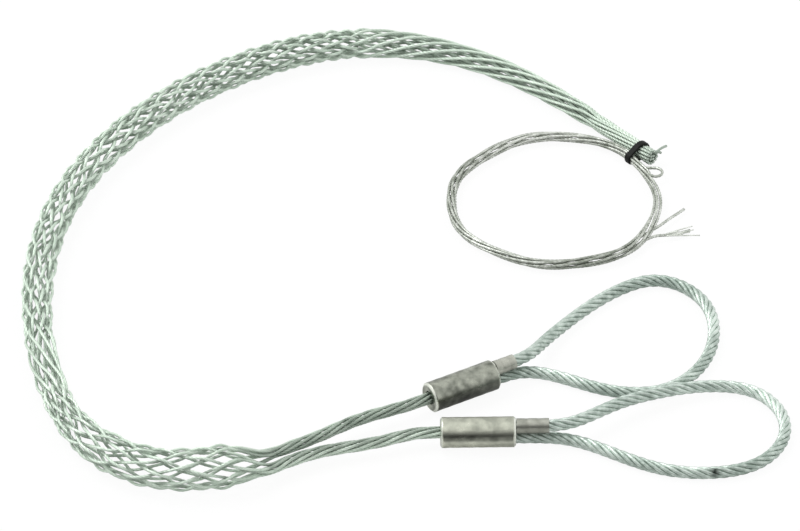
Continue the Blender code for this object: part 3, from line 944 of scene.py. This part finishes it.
@dataclass
class Sleeve(Piece):
    """Thin metal sleeve on a rope leg, crimped in two places along it and pressed in at its seam.

    Each crimp is a bell about its share of the length; the seam is one about its angle.
    """

    node: str
    bore: float = 0.0033
    wall: float = 0.00035
    inset: float = 0.0001
    crimps: tuple[float, float] = (0.30, 0.72)
    crimp_width: float = 0.06
    crimp_depth: float = 0.00012
    crimp_shade: float = 0.48
    seam_angle: float = 2.0
    seam_width: float = 0.06
    seam_depth: float = 0.02
    rows: int = 14
    columns: int = 48

    def build(self) -> Object:
        """Make and dress the sleeve: a closed ring of rows, out along its outside and back inside."""
        start, axis, length = node_axis(self.node)
        angles = circle_angles(self.columns)
        share = np.linspace(0.0, 1.0, self.rows)
        crimp = sum(np.exp(-(((share - place) / self.crimp_width) ** 2)) for place in self.crimps)
        outer = self.bore + self.wall - self.crimp_depth * crimp
        along = np.concatenate([share, share[::-1]]) * length
        radii = np.concatenate([outer, np.full(self.rows, self.bore - self.inset)])
        seam = 1 - self.seam_depth * np.exp(-(((angles - self.seam_angle) / self.seam_width) ** 2))
        # Painted shade in the crimps, and full painted shade on the inside.
        groove = np.clip(np.concatenate([self.crimp_shade * crimp, np.ones(self.rows)]), 0.0, 1.0)
        surface = Surface()
        grid = round_grid(start, axis, along, radii[:, None] * seam, angles)
        surface.add(grid, groove[:, None], ring=True)
        piece = surface.piece(f"rolled_{self.node}")
        piece.data.set_sharp_from_angle(angle=SHARP_ANGLE)
        return dress(piece, SLEEVE_FINISH, self.node)


def coil_circle() -> tuple[Array, float, float]:
    """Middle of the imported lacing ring, its radius at the middle of its section, and its thickness."""
    low, high = (np.array(corner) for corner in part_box("lacing_coil"))
    thickness = high[2] - low[2]
    return (low + high) / 2, float(high[0] - low[0] - thickness) / 2, float(thickness)


@dataclass
class TailBand(Piece):
    """Black tape that ties the tail bundle and the lacing ring together.

    Its profile is a closed ring of shares of the half width and of the thickness.
    """

    lines: list[Array]
    thickness: float = 0.0008
    width: float = 0.0034
    strand_radius: float = 0.00075
    slack: float = 0.00015
    waver: float = 0.0002
    waver_start: float = 0.8
    columns: int = 96
    profile: tuple[tuple[float, float], ...] = (
        (-1.0, 0.0), (-0.97, 0.8), (-0.6, 1.0), (0.0, 0.93), (0.6, 1.0), (0.97, 0.8), (1.0, 0.0),
        (0.5, -0.05), (-0.5, -0.05),
    )

    def belt(self, circles: list[tuple[Array, float]], angles: Array) -> Array:
        """Outline of a belt round two circles.

        The point that faces an angle lies on the circle whose middle, measured that way, plus
        radius is greater.

        Args:
            circles: Middle, in the belt's plane, and radius of each circle.
            angles: Directions that the outline's points face.

        Returns:
            The points, in the belt's plane.
        """
        facing = np.stack([np.cos(angles), np.sin(angles)], axis=-1)
        reaches = np.stack([facing @ middle + radius for middle, radius in circles])
        points = np.stack([middle + radius * facing for middle, radius in circles])
        return np.where((reaches[0] >= reaches[1])[:, None], points[0], points[1])

    def build(self) -> Object:
        """Make and dress the band, square to the bundle, round it and the nearest part of the ring."""
        place = band_place()
        near = [(line, np.linalg.norm(line - place, axis=1).argmin()) for line in self.lines]
        bundle = np.array([line[k] for line, k in near])
        axis = np.mean([line[k + 3] - line[max(k - 3, 0)] for line, k in near], axis=0)
        axis[2] = 0.0
        axis /= np.linalg.norm(axis)
        side = np.cross(axis, UP)
        centre = bundle.mean(axis=0)
        centre += axis * ((place - centre) @ axis)
        ring, radius, thickness = coil_circle()
        away = (centre - ring) * (1, 1, 0)
        nearest = ring + away / np.linalg.norm(away) * radius
        reach = max(np.hypot((bundle - centre) @ side, (bundle - centre) @ UP)) + self.strand_radius
        offset = np.array([(nearest - centre) @ side, (nearest - centre) @ UP])
        angles = circle_angles(self.columns)
        waver = self.waver * np.sin(3 * angles + self.waver_start)
        rows = []
        for share, lift in self.profile:
            grow = self.slack + lift * self.thickness
            outline = self.belt([(np.zeros(2), reach + grow), (offset, thickness / 2 + grow)], angles)
            along = share * self.width / 2 + waver
            rows.append(centre + outline[:, :1] * side + outline[:, 1:] * UP + along[:, None] * axis)
        surface = Surface()
        surface.add(np.stack(rows), np.zeros((1, 1)), ring=True)
        return dress(surface.piece("tape_band"), BAND_FINISH, "tail_band")


@dataclass
class StrayWires(Piece):
    """Wires of cut strands that bend away from their ends: each falls off as its length squared."""

    name: str
    starts: Array
    ways: Array
    diameter: float
    darkening: float
    length: float = 0.0075
    shorter: float = 0.28
    bend: float = 0.0022
    rows: int = 9
    sides: int = 6
    finish: Finish = STRAND_FINISH

    def build(self) -> Object:
        """Make and dress the wires, as one piece."""
        surface = Surface()
        share = np.linspace(0.0, 1.0, self.rows)[:, None]
        angles = circle_angles(self.sides)
        radii = np.full((self.rows, self.sides), self.diameter / 2)
        for number, (start, way) in enumerate(zip(self.starts, self.ways)):
            reach = self.length * (1 - self.shorter + self.shorter * math.cos(2.4 * number))
            line = start + way * reach * share - UP * self.bend * share**2
            line[:, 2] = np.maximum(line[:, 2], self.diameter / 2)
            wire = swept_grid(line, np.broadcast_to(angles, radii.shape), radii)
            surface.add(wire, np.full((1, 1), self.darkening))
        return dress(surface.piece(self.name), self.finish)


@dataclass
class LacingCord(Piece):
    """Spare lacing strand: doubled, wound into a ring, its bight at the band and both ends free."""

    diameter: float = 0.0015
    sides: int = 8
    full_turns: int = 2
    turn_points: int = 36
    slots: int = 6
    ease: float = 1.02
    bundle_twists: int = 2
    wave: float = 0.0008
    loose: float = 0.35
    start_angle: float = 0.20
    leave_angle: float = 0.22
    bight_radius: float = 0.0033
    bight_ahead: float = 0.0066
    bight_out: float = 0.0027
    bight_lift: float = 0.3
    bight_turn: float = 2.1
    bight_points: int = 9
    step: float = 0.0012
    splay: float = 0.21
    splay_back: int = 12
    splay_wires: int = 7
    splay_lift: float = 0.06

    def route(self) -> Array:
        """Points of the cord: short end, ring clockwise, bight, ring anticlockwise, long end.

        In the ring each turn keeps its own place in the bundle, on a circle of radius
        d / 2 / sin(pi / slots), and the bundle twists so that a turn ends where the next begins.
        At an angle f from the band the ring's radius is off by wave (sin 3f + 0.6 sin 7f), and the
        bundle's circle is wider by a share of loose sin^2 f, as in a ring wound by hand.

        Returns:
            The route's points.
        """
        centre, radius, _ = coil_circle()
        band = band_place()
        heading = math.atan2(band[1] - centre[1], band[0] - centre[0])
        start = heading - self.start_angle
        circle = self.diameter * self.ease / 2 / math.sin(math.pi / self.slots)
        rate = self.bundle_twists + 2 / self.slots
        legs = []
        for leg, name in enumerate(("lacing_short_end", "lacing_long_end")):
            end = middle_line(name, self.sides)
            gaps = np.linalg.norm((end[[0, -1]] - centre)[:, :2], axis=1)
            end = end if gaps[0] < gaps[1] else end[::-1]
            leave = math.atan2(end[0][1] - centre[1], end[0][0] - centre[0]) - self.leave_angle
            sweep = (leave - start) % math.tau + math.tau * self.full_turns
            places = np.linspace(0.0, sweep, round(sweep / math.tau * self.turn_points))
            slot = rate * places + leg * math.tau / self.slots
            off = start + places - heading
            loose = circle * (1 + self.loose * np.sin(off) ** 2)
            reach = radius + self.wave * (np.sin(3 * off) + 0.6 * np.sin(7 * off)) + loose * np.cos(slot)
            around = start + places
            ring = np.stack([reach * np.cos(around), reach * np.sin(around), loose * np.sin(slot)], axis=-1)
            legs.append(np.vstack([centre + ring, end[1:]]))
        first, last = legs[0][0], legs[1][0]
        way = np.array([math.sin(start), -math.cos(start), 0.0])
        out = np.array([math.cos(start), math.sin(start), 0.0])
        middle = (first + last) / 2 + way * self.bight_ahead + out * self.bight_out
        middle[2] = max(middle[2], self.bight_radius * self.bight_lift + self.diameter)
        across = out if (first - last) @ out >= 0 else -out
        turn = np.linspace(-self.bight_turn, self.bight_turn, self.bight_points)[:, None]
        loop = middle + self.bight_radius * (way * np.cos(turn) - across * np.sin(turn))
        return np.vstack([legs[0][::-1], loop, legs[1]])

    def build(self) -> Object:
        line = smooth_line(self.route(), self.step)
        line[:, 2] = np.maximum(line[:, 2], self.diameter / 2)
        surface = Surface()
        LaidStrand(self.diameter, wires=6, lay_length=0.012, samples=2).surface(surface, line)
        piece = surface.piece("lacing_cord")
        cord = dress(piece, LACING_FINISH, "lacing_coil", "lacing_long_end", "lacing_short_end")
        root = line[-self.splay_back]
        ahead = (line[-1] - root) / np.linalg.norm(line[-1] - root)
        left = np.cross(UP, ahead)
        spread = np.linspace(-self.splay, self.splay, self.splay_wires)[:, None]
        rise = UP * self.splay_lift * np.cos(2 * spread / self.splay)
        starts = root + self.diameter / 2 * left * np.sign(spread)
        splayed = StrayWires(
            "splayed_lacing_wires", starts, ahead + spread * left + rise, diameter=0.0006, darkening=0.1,
            length=0.0165, bend=0.0004, finish=LACING_FINISH,
        ).build()
        return cord


# Light, floor and camera


@dataclass
class Studio:
    """White table, soft light and the camera."""

    metres_per_pixel: float = 0.000484
    width: int = 800
    elevation: float = math.radians(38.6)
    distance: float = 6.0
    sensor: float = 36.0
    aim: Triple = (-0.001933, 0.002232, 0.000211)
    floor_half: float = 6.0
    floor_white: float = 0.90
    floor_glow: float = 1.03
    glow_share: float = 0.9
    glow_in_reflections: float = 0.15
    world_light: float = 0.50
    front_light: float = 0.15

    def make_camera(self) -> None:
        """Long-lens camera that looks along +Y and down, at the photograph's scale.

        The lens is sensor x distance / width of the view at the aim.
        """
        data = bpy.data.cameras.new("camera")
        data.sensor_width = self.sensor
        data.lens = self.sensor * self.distance / (self.metres_per_pixel * self.width)
        data.clip_end = 3 * self.distance
        camera = new_object("camera", data)
        away = Vector((0.0, -math.cos(self.elevation), math.sin(self.elevation)))
        camera.location = Vector(self.aim) + away * self.distance
        camera.rotation_euler = (math.pi / 2 - self.elevation, 0.0, 0.0)
        bpy.context.scene.camera = camera

    @staticmethod
    def rays(nodes: Nodes) -> tuple[Socket, Socket]:
        """Whether a ray comes straight from the camera, and whether it is a reflection."""
        path = nodes.add("LightPath")
        seen = nodes.math("MAXIMUM", path.outputs["Is Camera Ray"], path.outputs["Is Transmission Ray"])
        return seen, path.outputs["Is Glossy Ray"]

    def make_floor(self) -> None:
        """White floor that takes a soft shadow and looks white to the camera and in reflections."""
        half = self.floor_half
        corners = [(-half, -half, 0.0), (half, -half, 0.0), (half, half, 0.0), (-half, half, 0.0)]
        mesh = bpy.data.meshes.new("floor")
        mesh.from_pydata(corners, [], [(0, 1, 2, 3)])
        floor = new_object("floor", mesh)
        material = bpy.data.materials.new("floor_white")
        material.use_nodes = True
        nodes = Nodes(material.node_tree)
        nodes.tree.nodes.remove(nodes.tree.nodes["Principled BSDF"])
        matt = nodes.add("BsdfDiffuse", {"Color": rgba((self.floor_white,) * 3)})
        glow = nodes.add("Emission", {"Color": rgba((1.0, 1.0, 1.0)), "Strength": self.floor_glow})
        seen, glossy = self.rays(nodes)
        shine = nodes.math("MULTIPLY", glossy, self.glow_in_reflections)
        share = nodes.math("MAXIMUM", nodes.math("MULTIPLY", seen, self.glow_share), shine)
        mixed = nodes.add("MixShader", {0: share, 1: matt.outputs[0], 2: glow.outputs[0]})
        nodes.put(nodes.tree.nodes["Material Output"], "Surface", mixed.outputs[0])
        mesh.materials.append(material)

    def make_world(self) -> None:
        """Even world light, white to the camera, and in reflections white but for a dim front.

        The dim part is the room behind the camera: it fades in as a direction turns to -Y.
        """
        world = bpy.data.worlds.new("studio")
        world.use_nodes = True
        bpy.context.scene.world = world
        nodes = Nodes(world.node_tree)
        seen, glossy = self.rays(nodes)
        way = nodes.add("SeparateXYZ", {"Vector": nodes.add("TexCoord").outputs["Generated"]})
        front = nodes.spread(way.outputs["Y"], -0.95, -0.45, self.front_light, 1.0, "SMOOTHSTEP")
        plain = nodes.spread(seen, 0.0, 1.0, self.world_light, 1.0)
        shine = nodes.math("MULTIPLY", glossy, nodes.math("SUBTRACT", front, plain))
        back = nodes.tree.nodes["Background"]
        nodes.put(back, "Color", rgba((1.0, 1.0, 1.0)))
        nodes.put(back, "Strength", nodes.math("ADD", plain, shine))

    def make_lamps(self) -> None:
        """Soft boxes: a key from the upper left, which metal shows, a fill and one behind."""
        for name, place, size, power, shows in (
            ("key", (-0.8, 0.3, 1.4), 1.0, 9.5, True),
            ("fill", (1.1, -0.6, 0.9), 1.3, 4.0, False),
            ("back", (0.1, 1.2, 1.0), 1.3, 4.5, False),
        ):
            data = bpy.data.lights.new(name, "AREA")
            data.shape = "SQUARE"
            data.size = size
            data.energy = power
            lamp = new_object(name, data)
            lamp.location = place
            lamp.visible_glossy = shows
            lamp.rotation_euler = (-Vector(place)).to_track_quat("-Z", "Y").to_euler()

    def build(self) -> None:
        """Set up the whole studio."""
        self.make_camera()
        self.make_floor()
        self.make_world()
        self.make_lamps()
        bpy.context.scene.view_settings.view_transform = "Standard"


def main() -> None:
    """Build the studio and every piece in order."""
    logging.basicConfig(level=logging.INFO, format="%(message)s")
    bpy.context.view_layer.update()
    Studio().build()
    tube = MeshTube()
    lines = tube.lines()
    tube.build(lines)
    ends = np.array([line[0] for line in lines.values()])
    outer = np.argsort(ends @ np.array([0.2, 0.8, 1.0]))[[-1, -2]]
    for piece in (
        EyeRope("lower_eye_rope", nick=(0.1470, -0.1580)),
        EyeRope("upper_eye_rope"),
        Ferrule("lower_ferrule", dents=((0.009, 2.2, 0.0016, 0.00012),)),
        # The upper ferrule: a wider painted reflection band, and the steel copy that is painted darker as
        # shade.
        Ferrule("upper_ferrule", dents=(
            (0.012, 1.9, 0.0022, 0.00022), (0.019, 2.3, 0.0018, 0.00018), (0.026, 1.7, 0.0020, 0.00020),
        ), darkening=(-0.15, 0.66), finish=SHADED_FERRULE_FINISH),
        Sleeve("lower_eye_sleeve"),
        Sleeve("upper_eye_sleeve"),
        TailBand(list(lines.values())),
        StrayWires(
            "stray_tail_wires", ends[outer], np.array([[0.70, 0.62, 0.34], [0.93, 0.20, 0.30]]),
            diameter=0.0013, darkening=0.8,
        ),
        LacingCord(),
    ):
        piece.build()


if __name__ == "__main__":
    main()
